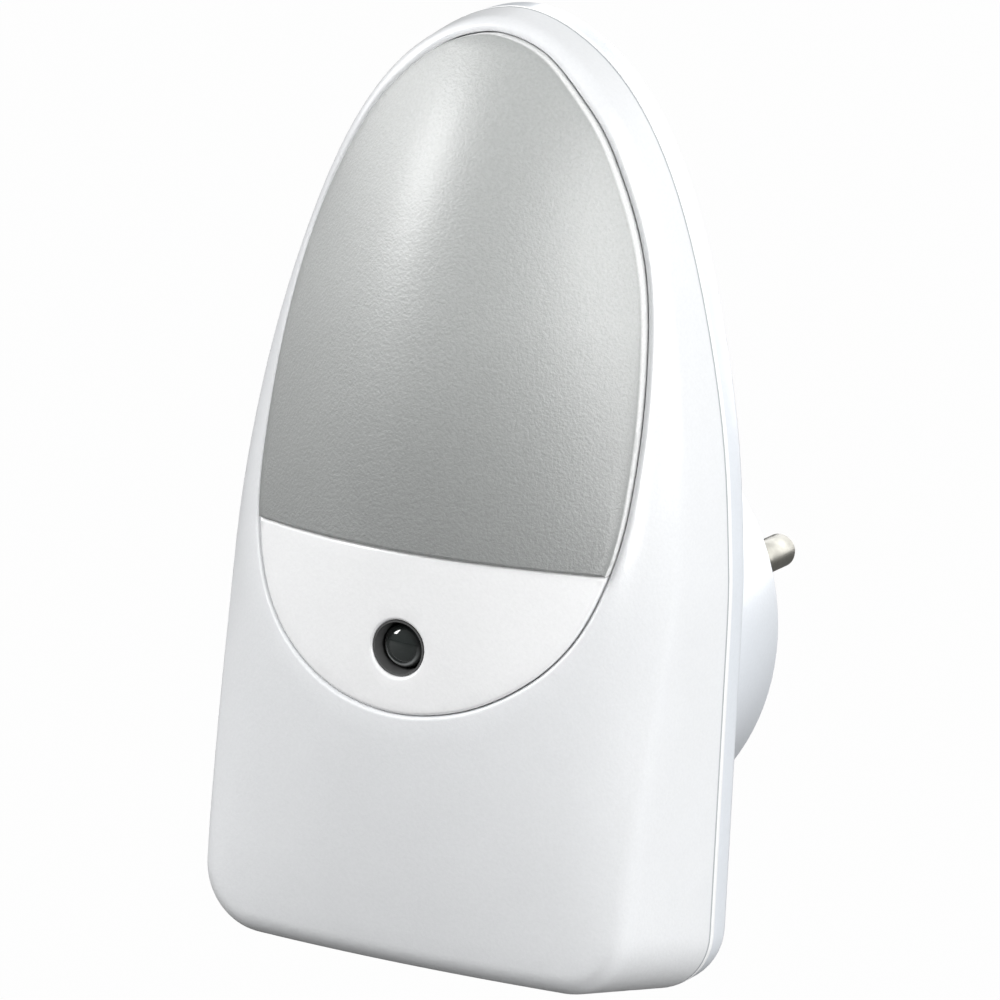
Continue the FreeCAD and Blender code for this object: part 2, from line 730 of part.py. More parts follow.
# Sensor: a dark clear dome on two long leads inside a light shield.
sensor_up = size("sensor_up")
sensor_rad = size("sensor_rad")
sensor_tip = SEAM - size("sensor_tip")
finished(turned("sensor_dome", [
    (0, sensor_tip + 7.2), (sensor_rad + 0.35, sensor_tip + 7.2),
    (sensor_rad + 0.35, sensor_tip + 6.2), (sensor_rad, sensor_tip + 6.2),
    (sensor_rad, sensor_tip + 2.4), (sensor_rad * 0.94, sensor_tip + 1.6),
    (sensor_rad * 0.77, sensor_tip + 0.85), (sensor_rad * 0.5, sensor_tip + 0.3),
    (sensor_rad * 0.2, sensor_tip + 0.05), (0, sensor_tip),
], (0, 0, sensor_up)), "sensor_dome")
shield_rad = size("shield_rad")
shield_tip = SEAM - size("shield_tip")
shield_step = SEAM - size("shield_step")
finished(turned("sensor_shield", [
    (sensor_rad + 0.45, board_face), (4.3, board_face), (4.3, shield_step),
    (shield_rad, shield_step), (shield_rad, shield_tip), (shield_rad - 0.2, shield_tip),
    (sensor_rad + 0.1, sensor_tip + 2.4), (sensor_rad + 0.1, sensor_tip + 6.1),
    (sensor_rad + 0.45, sensor_tip + 6.1),
], (0, 0, sensor_up)), "sensor_shield")
sensor_leads = []
for side in (-1, 1):
    run = rod(
        "sensor_lead_%d" % (side + 1), (side * 1.27, sensor_tip + 7.2, sensor_up), LEAD_RAD,
        back_stop - sensor_tip - 7.2,
    )
    lead_runs.append((side * 1.27, sensor_up))
    sensor_leads.append(run)
finished(group("sensor_leads", sensor_leads), "sensor_leads")

# Parts on the back of the board, each standing a little off it.
STAND = 0.3
stand_y = board_back + STAND
component_leads = []


def legs(name, spots):
    for index, (x, z) in enumerate(spots):
        run = lead("%s_leg_%d" % (name, index), x, z, board_face - 0.8, stand_y)
        component_leads.append(run)


finished(block("dropper_capacitor", (-17.0, stand_y, -16.0), (18.0, 13.0, 8.5)), "dropper_capacitor")
legs("dropper", [(-15.5, -11.75), (-0.5, -11.75)])
can = turned("smoothing_capacitor", [
    (0, stand_y), (5.0, stand_y), (5.0, stand_y + 1.6), (4.75, stand_y + 2.0),
    (4.75, stand_y + 2.5), (5.0, stand_y + 2.9), (5.0, stand_y + 12.0), (4.6, stand_y + 12.5),
    (0, stand_y + 12.5),
], (10.5, 0, -11.5))
finished(can, "smoothing_capacitor")
legs("smoothing", [(8.0, -11.5), (13.0, -11.5)])
finished(block("rectifier", (5.0, stand_y, 10.0), (8.5, 3.2, 6.5)), "rectifier")
legs("rectifier", [(6.5, 11.2), (12.0, 11.2), (6.5, 15.3), (12.0, 15.3)])
fuse = rod("fusible_resistor", (-14.5, stand_y + 2.1, 12.5), 2.1, 10.0, ACROSS)
finished(fuse, "fusible_resistor")
legs("fusible", [(-13.4, 12.5), (-5.6, 12.5)])
RESISTOR_ROWS = [(-9.0, 19.5), (1.0, 22.5), (-9.0, -20.5)]
resistors = []
for index, (x, z) in enumerate(RESISTOR_ROWS):
    resistors.append(rod("resistor_%d" % index, (x, stand_y + 1.25, z), 1.25, 6.5, ACROSS))
    legs("resistor_%d" % index, [(x + 0.8, z), (x + 5.7, z)])
finished(group("resistors", resistors), "resistors")
case = rod("transistor_round", (0.0, stand_y, 3.0), 2.35, 4.6)
flat = block("transistor_flat", (-3.0, stand_y - 1.0, 4.4), (6.0, 7.0, 3.0))
finished(cut("transistor", case, [flat]), "transistor")
legs("transistor", [(-1.9, 3.0), (0.0, 1.6), (1.9, 3.0)])
finished(group("component_leads", component_leads), "component_leads")
finished(group("led_leads", led_leads), "led_leads")

# Two insulated wires from the pins' tails to the board: straight, then an
# S bend outwards made of two equal arcs, then straight into the board.
WIRE_OUT = 17.0
BEND = 6.0
BEND_START = -24.0
wire_holes = []
turn = math.acos(1.0 - 0.5 * (WIRE_OUT - NUMBERS["pin_half"]) / BEND)
half_turn = 0.5 * turn


def bend_spot(side, angle, second):
    """A point on the first arc, or on the second arc mirrored from it."""
    out = BEND * (1.0 - math.cos(angle))
    back = BEND * math.sin(angle)
    if second:
        out = WIRE_OUT - NUMBERS["pin_half"] - out
        back = 2.0 * BEND * math.sin(turn) - back
    return Vector(side * (NUMBERS["pin_half"] + out), BEND_START - back, 0)


for side, word in ((-1, "left"), (1, "right")):
    start = Vector(side * NUMBERS["pin_half"], tail.number, 0)
    first = bend_spot(side, 0.0, False)
    knee = bend_spot(side, turn, False)
    last = bend_spot(side, 0.0, True)
    stop = Vector(side * WIRE_OUT, board_back.number - 0.8, 0)
    path = Part.Wire([
        Part.makeLine(start, first),
        Part.Arc(first, bend_spot(side, half_turn, False), knee).toShape(),
        Part.Arc(knee, bend_spot(side, half_turn, True), last).toShape(),
        Part.makeLine(last, stop),
    ])
    ring = Part.Wire(Part.makeCircle(0.9, start, Vector(0, -1, 0)))
    wire = shaped("wire_" + word, path.makePipeShell([ring], True, True))
    finished(wire, "wire_" + word)
    at = (side * WIRE_OUT, board_back - 0.8, 0)
    wire_holes.append(rod("wire_hole_" + word, at, 0.92, 2.0))

board_holes = [
    rod("lead_hole_%d" % index, (x, board_face - 1.0, z), LEAD_RAD + 0.04, 4.0)
    for index, (x, z) in enumerate(lead_runs)
]
post_down = -size("post_down")
post_out = size("post_out")
board_screws = []
for side, where in (("left", -post_out), ("right", post_out)):
    board_holes.append(rod("board_bore_" + side, (where, board_face - 1.0, post_down), 1.5, 4.0))
    board_screws.append(screw("board_screw_" + side, (where, board_back, post_down), 7.0, -1))
finished(group("board_screws", board_screws), "board_screws")
finished(cut("circuit_board", board_body, board_holes + wire_holes), "circuit_board")

doc.recompute()
faults = []
for item in doc.Objects:
    if "Invalid" in item.State or "Error" in item.State:
        faults.append("%s: %s" % (item.Name, item.State))
for part in PARTS:
    if part.Shape.isNull() or not part.Shape.isValid() or not part.Shape.Solids:
        faults.append("%s: shape" % part.Label)
if faults:
    raise RuntimeError("; ".join(faults))

os.makedirs("parts", exist_ok=True)
for part in PARTS:
    part.Shape.exportStep("parts/%s.step" % part.Label)
    box = part.Shape.BoundBox
    print("%-20s %9.1f mm3  x %6.1f %6.1f  y %6.1f %6.1f  z %6.1f %6.1f  solids %d" % (
        part.Label, part.Shape.Volume, box.XMin, box.XMax, box.YMin, box.YMax,
        box.ZMin, box.ZMax, len(part.Shape.Solids),
    ))
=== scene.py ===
import math

import bmesh
import bpy
from bpy.props import FloatProperty, FloatVectorProperty, PointerProperty
from mathutils import Matrix, Vector


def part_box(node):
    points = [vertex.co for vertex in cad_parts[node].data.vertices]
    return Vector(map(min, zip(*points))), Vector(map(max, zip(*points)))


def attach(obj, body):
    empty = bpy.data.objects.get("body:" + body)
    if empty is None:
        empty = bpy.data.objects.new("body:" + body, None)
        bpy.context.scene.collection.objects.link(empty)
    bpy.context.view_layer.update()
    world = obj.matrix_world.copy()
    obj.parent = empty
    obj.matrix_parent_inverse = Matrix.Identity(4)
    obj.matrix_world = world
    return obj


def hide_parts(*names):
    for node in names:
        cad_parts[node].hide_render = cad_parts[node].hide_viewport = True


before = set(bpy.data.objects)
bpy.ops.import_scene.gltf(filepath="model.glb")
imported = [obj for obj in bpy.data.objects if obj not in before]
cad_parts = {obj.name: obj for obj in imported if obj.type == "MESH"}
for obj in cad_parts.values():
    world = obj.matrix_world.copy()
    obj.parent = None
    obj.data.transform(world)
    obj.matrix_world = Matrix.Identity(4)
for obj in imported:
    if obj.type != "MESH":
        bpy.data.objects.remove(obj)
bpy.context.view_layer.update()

bl_info = {
    "name": "Plug In Night Light",
    "version": (1, 0, 0),
    "blender": (4, 5, 0),
    "location": "3D View > Sidebar > Night Light",
    "description": "Finishes and small detail for a plug in night light with a dusk sensor",
    "category": "Object",
}

MM = 0.001
WELD = 1e-6

# Heights and depths that several pieces share, in metres, read from the parts in model.glb.
SEAM_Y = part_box("front_cover")[1][1]
BASE_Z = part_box("front_cover")[0][2]
LENS_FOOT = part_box("lens")[0][2]
SENSOR_Z = 0.5 * (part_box("sensor_dome")[0][2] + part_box("sensor_dome")[1][2])

# Painted shadow and painted highlight along the seam: full strength up to the first distance from
# the seam, gone at the second.
SEAM_PAINT_FULL, SEAM_PAINT_GONE = 0.00042, 0.00056

# The painted highlight ring in the sensor: its radius, its width, and the heights over the
# sensor's axis between which it fades in, strongest below.
RING_RAD, RING_WIDTH = 0.00205, 0.00026
RING_FADE = 0.0008, -0.0012

# The lens: height of the painted shade at its foot, and how much of the normal points
# along Y where the painted glow on its side wall begins to fade and where it is gone.
FOOT_SHADE_HEIGHT = 0.030
EDGE_GLOW_FULL, EDGE_GLOW_GONE = 0.12, 0.3

# Sizes of the moulded grain, fine and broad, and the share of the broad one in the bump.
FINE_GRAIN, BROAD_GRAIN = 2600.0, 60.0
BROAD_SHARE = 0.35

# Dome of the sensor: share of the barrel's radius against millimetres behind the tip.
DOME_PROFILE = (
    (0.0, 0.0), (0.20, 0.02), (0.40, 0.09), (0.58, 0.20), (0.74, 0.36), (0.87, 0.58),
    (0.96, 0.86), (1.0, 1.25), (1.0, 6.2),
)
FLANGE_STEP = 0.35 * MM

# White ground: what the camera sees of its glow, its own grey, and the room's light.
FLOOR_GLOW = 0.985
FLOOR_GREY = 0.12
ROOM_LIGHT = 0.13

# Lamps: name, turn and height in degrees, distance, width and height in metres, watts.
LAMP_AIM = (0.0, SEAM_Y, 0.02)
LAMPS = (
    ("key", -50.0, 29.0, 1.1, 0.28, 0.62, 9.0),
    ("fill", 53.0, 18.0, 1.1, 0.24, 0.62, 6.4),
    ("left", -92.0, 26.0, 1.2, 1.0, 0.8, 5.6),
    ("right", 92.0, 22.0, 1.2, 1.0, 0.8, 10.4),
    ("top", 5.0, 60.0, 1.2, 1.3, 0.7, 0.8),
    ("rear", 178.0, 12.0, 1.2, 1.2, 0.8, 8.0),
)

# Camera: turn, lift and roll in degrees, its place across, up and back from the seam, and
# the focal length as a share of the width of the film.
CAMERA_ANGLES = 27.0195, 14.0657, 2.7802
CAMERA_ACROSS, CAMERA_UP, CAMERA_BACK = 0.00092, 0.015234, 0.9
FILM_WIDTH = 36.0
FOCAL_SHARE = 8.0013

# Sockets of a colour mix node.
MIX_FACTOR, MIX_FIRST, MIX_SECOND, MIX_RESULT = 0, 6, 7, 2


# ---- sizes and colours a user would change ----


def colour(name, words, rgb):
    return FloatVectorProperty(
        name=name, description=words, subtype="COLOR", size=3, min=0.0, max=1.0, default=rgb
    )


def length(name, words, value):
    return FloatProperty(name=name, description=words, default=value, min=0.0, unit="LENGTH")


def amount(name, words, value, top=1.0):
    return FloatProperty(name=name, description=words, default=value, min=0.0, max=top)


class NightLightFinish(bpy.types.PropertyGroup):
    shell: colour("Shell", "White of the front cover", (0.82, 0.833, 0.848))
    panel: colour("Panel", "Cleaner white of the sensor panel", (0.93, 0.935, 0.94))
    # The casing's greyer, bluer white is partly its own colour and partly painted shade for its
    # sides turned away from the lamps.
    casing: colour("Casing", "Bluish white of the rear casing", (0.76, 0.795, 0.84))
    # Colour of the painted shadow in the seam between cover and casing.
    painted_seam: colour("Joint", "Shadow in the seam of the shell", (0.40, 0.42, 0.44))
    plug: colour("Plug", "White of the plug body", (0.80, 0.81, 0.83))
    plug_shade: colour("Plug shade", "Second white in the plug's faint mottle", (0.82, 0.83, 0.85))
    lens: colour("Lens", "Frosted grey of the lens", (0.44, 0.454, 0.447))
    # Painted glow of light caught in the lens's side wall.
    lens_edge_glow: colour("Lens edge", "Paler frosted side wall of the lens", (0.88, 0.885, 0.88))
    # Painted shade: the lens's grey towards its foot.
    lens_foot_shade: colour("Lens foot", "Grey of the lens near its lower edge", (0.275, 0.284, 0.280))
    resin: colour("Sensor resin", "Dark clear resin of the sensor", (0.012, 0.016, 0.015))
    # Colour of the painted highlight ring low in the sensor dome.
    ring: colour("Sensor ring", "Bright ring low in the sensor dome", (0.42, 0.44, 0.44))
    shield: colour("Light shield", "Dark grey round the sensor", (0.12, 0.125, 0.125))
    nickel: colour("Nickel", "Plating of the pins", (0.40, 0.39, 0.345))
    sleeve: colour("Pin sleeve", "Insulating sleeve on the pins", (0.035, 0.035, 0.038))
    board: colour("Board", "Lacquered circuit board", (0.028, 0.16, 0.06))
    track: colour("Track", "Copper track under the lacquer", (0.075, 0.25, 0.09))
    shell_rough: amount("Shell roughness", "Roughness of the white plastic", 0.30)
    lens_rough: amount("Lens roughness", "Roughness of the frosted lens", 0.40)


class NightLightSizes(bpy.types.PropertyGroup):
    floor_drop: length("Floor drop", "Floor below the underside of the body", 0.075)
    floor_half: length("Floor half width", "Half the width of the floor", 2.2)


# ---- shader node groups ----


def new_group(name, inputs, outputs):
    """A shader node group with named sockets, ready to be filled."""
    group = bpy.data.node_groups.new(name, "ShaderNodeTree")
    for label, kind, value in inputs:
        socket = group.interface.new_socket(name=label, in_out="INPUT", socket_type=kind)
        if value is not None:
            socket.default_value = value
    for label, kind in outputs:
        group.interface.new_socket(name=label, in_out="OUTPUT", socket_type=kind)
    ends = group.nodes.new("NodeGroupInput"), group.nodes.new("NodeGroupOutput")
    return group, ends[0], ends[1]


def node(tree, kind, **values):
    made = tree.nodes.new(kind)
    for key, value in values.items():
        if key in made.inputs:
            made.inputs[key].default_value = value
        else:
            setattr(made, key, value)
    return made


def map_range(tree, source, low=0.0, high=1.0, first=0.0, last=1.0, **settings):
    """Spread a value that runs from low to high over first to last."""
    made = node(tree, "ShaderNodeMapRange", **settings)
    for label, value in (("From Min", low), ("From Max", high), ("To Min", first),
                         ("To Max", last)):
        made.inputs[label].default_value = value
    tree.links.new(source, made.inputs["Value"])
    return made.outputs["Result"]


def moulded_grain():
    """Fine even grain of a moulded surface with faint large unevenness."""
    group, start, end = new_group(
        "moulded_grain",
        [("Vector", "NodeSocketVector", None), ("Fine", "NodeSocketFloat", FINE_GRAIN),
         ("Broad", "NodeSocketFloat", BROAD_GRAIN)],
        [("Height", "NodeSocketFloat"), ("Mottle", "NodeSocketFloat"),
         ("Speckle", "NodeSocketFloat")],
    )
    link = group.links.new
    fine = node(group, "ShaderNodeTexNoise", Detail=2.0, Roughness=0.6)
    broad = node(group, "ShaderNodeTexNoise", Detail=3.0, Roughness=0.55)
    for texture, label in ((fine, "Fine"), (broad, "Broad")):
        link(start.outputs["Vector"], texture.inputs["Vector"])
        link(start.outputs[label], texture.inputs["Scale"])
    blend = node(group, "ShaderNodeMath", operation="MULTIPLY_ADD")
    blend.inputs[1].default_value = BROAD_SHARE
    link(broad.outputs["Fac"], blend.inputs[0])
    link(fine.outputs["Fac"], blend.inputs[2])
    link(blend.outputs[0], end.inputs["Height"])
    for texture, label in ((broad, "Mottle"), (fine, "Speckle")):
        link(map_range(group, texture.outputs["Fac"], 0.3, 0.7), end.inputs[label])
    return group


def seam_paint_mask():
    """Mask of a thin line along the seam between cover and casing, where shade and a highlight are
    painted.
    """
    group, start, end = new_group(
        "seam_paint_mask",
        [("Vector", "NodeSocketVector", None), ("Seam", "NodeSocketFloat", 0.0)],
        [("Mask", "NodeSocketFloat")],
    )
    link = group.links.new
    split = node(group, "ShaderNodeSeparateXYZ")
    link(start.outputs["Vector"], split.inputs[0])
    gap = node(group, "ShaderNodeMath", operation="SUBTRACT")
    link(start.outputs["Seam"], gap.inputs[0])
    link(split.outputs["Y"], gap.inputs[1])
    size = node(group, "ShaderNodeMath", operation="ABSOLUTE")
    link(gap.outputs[0], size.inputs[0])
    fade = map_range(group, size.outputs[0], SEAM_PAINT_FULL, SEAM_PAINT_GONE, 1.0, 0.0)
    link(fade, end.inputs["Mask"])
    return group


def ring_highlight_mask():
    """Mask of a painted highlight: a thin ring round an axis that runs along Y, strongest below
    it.
    """
    group, start, end = new_group(
        "ring_highlight_mask",
        [("Vector", "NodeSocketVector", None), ("Height", "NodeSocketFloat", 0.0),
         ("Radius", "NodeSocketFloat", 0.002), ("Width", "NodeSocketFloat", 0.00014)],
        [("Mask", "NodeSocketFloat")],
    )
    link = group.links.new
    split = node(group, "ShaderNodeSeparateXYZ")
    link(start.outputs["Vector"], split.inputs[0])
    rise = node(group, "ShaderNodeMath", operation="SUBTRACT")
    link(split.outputs["Z"], rise.inputs[0])
    link(start.outputs["Height"], rise.inputs[1])
    flat = node(group, "ShaderNodeCombineXYZ")
    link(split.outputs["X"], flat.inputs["X"])
    link(rise.outputs[0], flat.inputs["Z"])
    span = node(group, "ShaderNodeVectorMath", operation="LENGTH")
    link(flat.outputs[0], span.inputs[0])
    off = node(group, "ShaderNodeMath", operation="SUBTRACT")
    link(span.outputs["Value"], off.inputs[0])
    link(start.outputs["Radius"], off.inputs[1])
    far = node(group, "ShaderNodeMath", operation="ABSOLUTE")
    link(off.outputs[0], far.inputs[0])
    band = map_range(group, far.outputs[0], first=1.0, last=0.0, interpolation_type="SMOOTHSTEP")
    link(start.outputs["Width"], band.node.inputs["From Max"])
    low = map_range(group, rise.outputs[0], *RING_FADE, interpolation_type="SMOOTHSTEP")
    both = node(group, "ShaderNodeMath", operation="MULTIPLY")
    link(band, both.inputs[0])
    link(low, both.inputs[1])
    link(both.outputs[0], end.inputs["Mask"])
    return group


GROUPS = {}


def shared(maker):
    if maker not in GROUPS:
        GROUPS[maker] = maker()
    return GROUPS[maker]


# ---- materials ----


def bare_material(name, rough=0.4, metal=0.0, **sockets):
    """A material with a Principled shader and object coordinates."""
    made = bpy.data.materials.new(name)
    made.use_nodes = True
    tree = made.node_tree
    shader = next(item for item in tree.nodes if item.type == "BSDF_PRINCIPLED")
    shader.inputs["Roughness"].default_value = rough
    shader.inputs["Metallic"].default_value = metal
    for label, value in sockets.items():
        shader.inputs[label.replace("_", " ")].default_value = value
    place = tree.nodes.new("ShaderNodeTexCoord")
    return made, tree, shader, place.outputs["Object"]


def add_group(tree, maker, place, **values):
    used = tree.nodes.new("ShaderNodeGroup")
    used.node_tree = shared(maker)
    tree.links.new(place, used.inputs["Vector"])
    for label, value in values.items():
        used.inputs[label].default_value = value
    return used


def mix_colours(tree, mask, first, second):
    """The first colour where the mask is 0, the second where it is 1."""
    mix = node(tree, "ShaderNodeMix", data_type="RGBA")
    mix.inputs[MIX_FIRST].default_value = (*first, 1.0)
    mix.inputs[MIX_SECOND].default_value = (*second, 1.0)
    tree.links.new(mask, mix.inputs[MIX_FACTOR])
    return mix.outputs[MIX_RESULT]


def speckled(tree, shader, colour, grain, share):
    """Darken the colour a little where the fine grain is low."""
    dim = map_range(tree, grain.outputs["Speckle"], first=1.0 - share)
    scale = node(tree, "ShaderNodeVectorMath", operation="SCALE")
    tree.links.new(colour, scale.inputs[0])
    tree.links.new(dim, scale.inputs["Scale"])
    tree.links.new(scale.outputs[0], shader.inputs["Base Color"])


def add_bump(tree, shader, height, strength, depth):
    bump = node(tree, "ShaderNodeBump", Strength=strength, Distance=depth)
    tree.links.new(height, bump.inputs["Height"])
    tree.links.new(bump.outputs["Normal"], shader.inputs["Normal"])
    return bump


def rough_range(tree, shader, mask, low, high):
    rough = map_range(tree, mask, first=low, last=high)
    tree.links.new(rough, shader.inputs["Roughness"])


def grained(name, first, second, rough, bump=0.12, depth=0.00002, **sockets):
    """Plain finish with two close colours, a fine grain and uneven gloss."""
    made, tree, shader, place = bare_material(name, rough, **sockets)
    grain = add_group(tree, moulded_grain, place, Fine=FINE_GRAIN, Broad=BROAD_GRAIN)
    tint = mix_colours(tree, grain.outputs["Mottle"], first, second)
    speckled(tree, shader, tint, grain, 0.035)
    rough_range(tree, shader, grain.outputs["Mottle"], rough * 0.92, rough * 1.1)
    add_bump(tree, shader, grain.outputs["Height"], bump, depth)
    return made


def lens_frost(finish):
    """Frosted satin plastic, with painted shade towards its foot and a painted glow of caught
    light on its side wall.
    """
    made, tree, shader, place = bare_material("frosted_lens", finish.lens_rough)
    shader.inputs["IOR"].default_value = 1.6
    shader.inputs["Coat Weight"].default_value = 0.85
    shader.inputs["Coat Roughness"].default_value = 0.40
    grain = add_group(tree, moulded_grain, place, Fine=3000.0, Broad=45.0)
    split = node(tree, "ShaderNodeSeparateXYZ")
    tree.links.new(place, split.inputs[0])
    # Painted shade: darker towards the lens's foot.
    rise = map_range(tree, split.outputs["Z"], LENS_FOOT, LENS_FOOT + FOOT_SHADE_HEIGHT)
    uneven = node(tree, "ShaderNodeMath", operation="MULTIPLY_ADD")
    uneven.inputs[1].default_value = 0.12
    tree.links.new(grain.outputs["Mottle"], uneven.inputs[0])
    tree.links.new(rise, uneven.inputs[2])
    tint = mix_colours(tree, uneven.outputs[0], finish.lens_foot_shade, finish.lens)
    # Painted glow: paler where the surface faces sideways, on the side wall.
    facing = node(tree, "ShaderNodeSeparateXYZ")
    tree.links.new(place.node.outputs["Normal"], facing.inputs[0])
    slope = node(tree, "ShaderNodeMath", operation="ABSOLUTE")
    tree.links.new(facing.outputs["Y"], slope.inputs[0])
    side = map_range(tree, slope.outputs[0], EDGE_GLOW_FULL, EDGE_GLOW_GONE, 1.0, 0.0)
    pale = mix_colours(tree, side, finish.lens, finish.lens_edge_glow)
    tree.links.new(tint, pale.node.inputs[MIX_FIRST])
    speckled(tree, shader, pale, grain, 0.13)
    rough_range(tree, shader, grain.outputs["Mottle"], finish.lens_rough, finish.lens_rough + 0.05)
    add_bump(tree, shader, grain.outputs["Height"], 1.0, 0.00009)
    return made


def plated(name, tone, rough):
    """Bright plating with fine turning lines round the Y axis and dull wear."""
    dull = tuple(part * 0.72 for part in tone)
    made, tree, shader, place = bare_material(name, rough, 1.0)
    lines = node(tree, "ShaderNodeTexWave", wave_type="BANDS", bands_direction="Y", Scale=2200.0)
    lines.inputs["Distortion"].default_value = 1.5
    tree.links.new(place, lines.inputs["Vector"])
    wear = add_group(tree, moulded_grain, place, Fine=1800.0, Broad=420.0)
    tint = mix_colours(tree, wear.outputs["Mottle"], tone, dull)
    tree.links.new(tint, shader.inputs["Base Color"])
    rough_range(tree, shader, wear.outputs["Mottle"], rough * 0.8, rough * 1.3)
    add_bump(tree, shader, lines.outputs["Fac"], 0.08, 0.00001)
    return made


def dark_resin(finish):
    """Dark clear resin with a painted highlight ring, strongest low in the dome."""
    made, tree, shader, place = bare_material("dark_resin", 0.06)
    shader.inputs["Coat Weight"].default_value = 1.0
    shader.inputs["Coat Roughness"].default_value = 0.03
    depth = node(tree, "ShaderNodeTexNoise", Scale=500.0, Detail=1.0)
    tree.links.new(place, depth.inputs["Vector"])
    tint = mix_colours(tree, depth.outputs["Fac"], finish.resin, (0.03, 0.035, 0.034))
    # Painted highlight: a bright ring low in the dome.
    ring = add_group(tree, ring_highlight_mask, place, Height=SENSOR_Z, Radius=RING_RAD,
                     Width=RING_WIDTH)
    lit = mix_colours(tree, ring.outputs["Mask"], finish.resin, finish.ring)
    tree.links.new(tint, lit.node.inputs[MIX_FIRST])
    tree.links.new(lit, shader.inputs["Base Color"])
    return made


def board_lacquer(finish):
    """Green lacquer with the copper tracks showing through it."""
    made, tree, shader, place = bare_material("board_lacquer", 0.3)
    shader.inputs["Coat Weight"].default_value = 0.4
    turn = node(tree, "ShaderNodeMapping")
    turn.inputs["Rotation"].default_value = (math.radians(90), 0.0, 0.0)
    tree.links.new(place, turn.inputs["Vector"])
    bricks = node(tree, "ShaderNodeTexBrick", Scale=170.0)
    bricks.inputs["Mortar Size"].default_value = 0.16
    bricks.inputs["Mortar Smooth"].default_value = 0.1
    bricks.inputs["Brick Width"].default_value = 1.3
    bricks.inputs["Row Height"].default_value = 0.55
    tree.links.new(turn.outputs[0], bricks.inputs["Vector"])
    tint = mix_colours(tree, bricks.outputs["Fac"], finish.track, finish.board)
    tree.links.new(tint, shader.inputs["Base Color"])
    add_bump(tree, shader, bricks.outputs["Fac"], 0.25, 0.00004)
    return made


MATERIALS = {}


def material(key, maker, *args, **values):
    if key not in MATERIALS:
        MATERIALS[key] = maker(*args, **values)
    return MATERIALS[key]


def shell_white(key):
    """Glossy moulded white of one piece, with a painted shadow line along the seam on the cover
    and a painted highlight line on the casing behind it.
    """
    finish = bpy.context.scene.night_finish
    tones = {"cover_white": finish.shell, "panel_white": finish.panel,
             "casing_white": finish.casing}
    tone = tones[key]
    shade = tuple(part * 0.96 for part in tone)
    made = material(
        key, grained, key, tone, shade, finish.shell_rough, bump=0.6, depth=0.00003,
        IOR=1.5, Coat_Weight=0.25, Coat_Roughness=0.12,
    )
    # Painted light along the seam: a dark painted shadow on the cover, and the panel's white as a
    # painted highlight on the casing's edge.
    lines = {"cover_white": finish.painted_seam, "casing_white": finish.panel}
    if key in lines:
        tree = made.node_tree
        shader = next(item for item in tree.nodes if item.type == "BSDF_PRINCIPLED")
        place = next(item for item in tree.nodes if item.type == "TEX_COORD")
        painted_seam = add_group(tree, seam_paint_mask, place.outputs["Object"], Seam=SEAM_Y)
        base = shader.inputs["Base Color"].links[0].from_socket
        line = mix_colours(tree, painted_seam.outputs["Mask"], tone, lines[key])
        tree.links.new(base, line.node.inputs[MIX_FIRST])
        tree.links.new(line, shader.inputs["Base Color"])
    return made


# ---- mesh helpers ----


def new_piece(name, mesh, finish, stands_for=()):
    """Turn a bmesh into a named object that rides on the body."""
    data = bpy.data.meshes.new(name)
    mesh.to_mesh(data)
    mesh.free()
    made = bpy.data.objects.new(name, data)
    bpy.context.scene.collection.objects.link(made)
    data.materials.append(finish)
    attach(made, "root")
    if stands_for:
        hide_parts(*stands_for)
    return made


def smooth_by_angle(mesh, degrees=32.0):
    """Smooth faces, with an edge kept hard where it turns by more."""
    limit = math.radians(degrees)
    for face in mesh.faces:
        face.smooth = True
    for edge in mesh.edges:
        if len(edge.link_faces) == 2:
            edge.smooth = edge.calc_face_angle(0.0) < limit
        else:
            edge.smooth = False


def merged_copy(name):
    """A welded copy of a CAD node's mesh."""
    mesh = bmesh.new()
    mesh.from_mesh(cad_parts[name].data)
    bmesh.ops.remove_doubles(mesh, verts=mesh.verts[:], dist=WELD)
    return mesh


def refined(name, finish):
    """The CAD shape with smooth shading, in place of its node."""
    mesh = merged_copy(name)
    smooth_by_angle(mesh)
    return new_piece(name + "_skin", mesh, finish, (name,))


def paint(names, finish):
    """Give CAD nodes a finish and leave their shape."""
    for name in names:
        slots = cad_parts[name].data.materials
        slots.clear()
        slots.append(finish)


# ---- operators ----


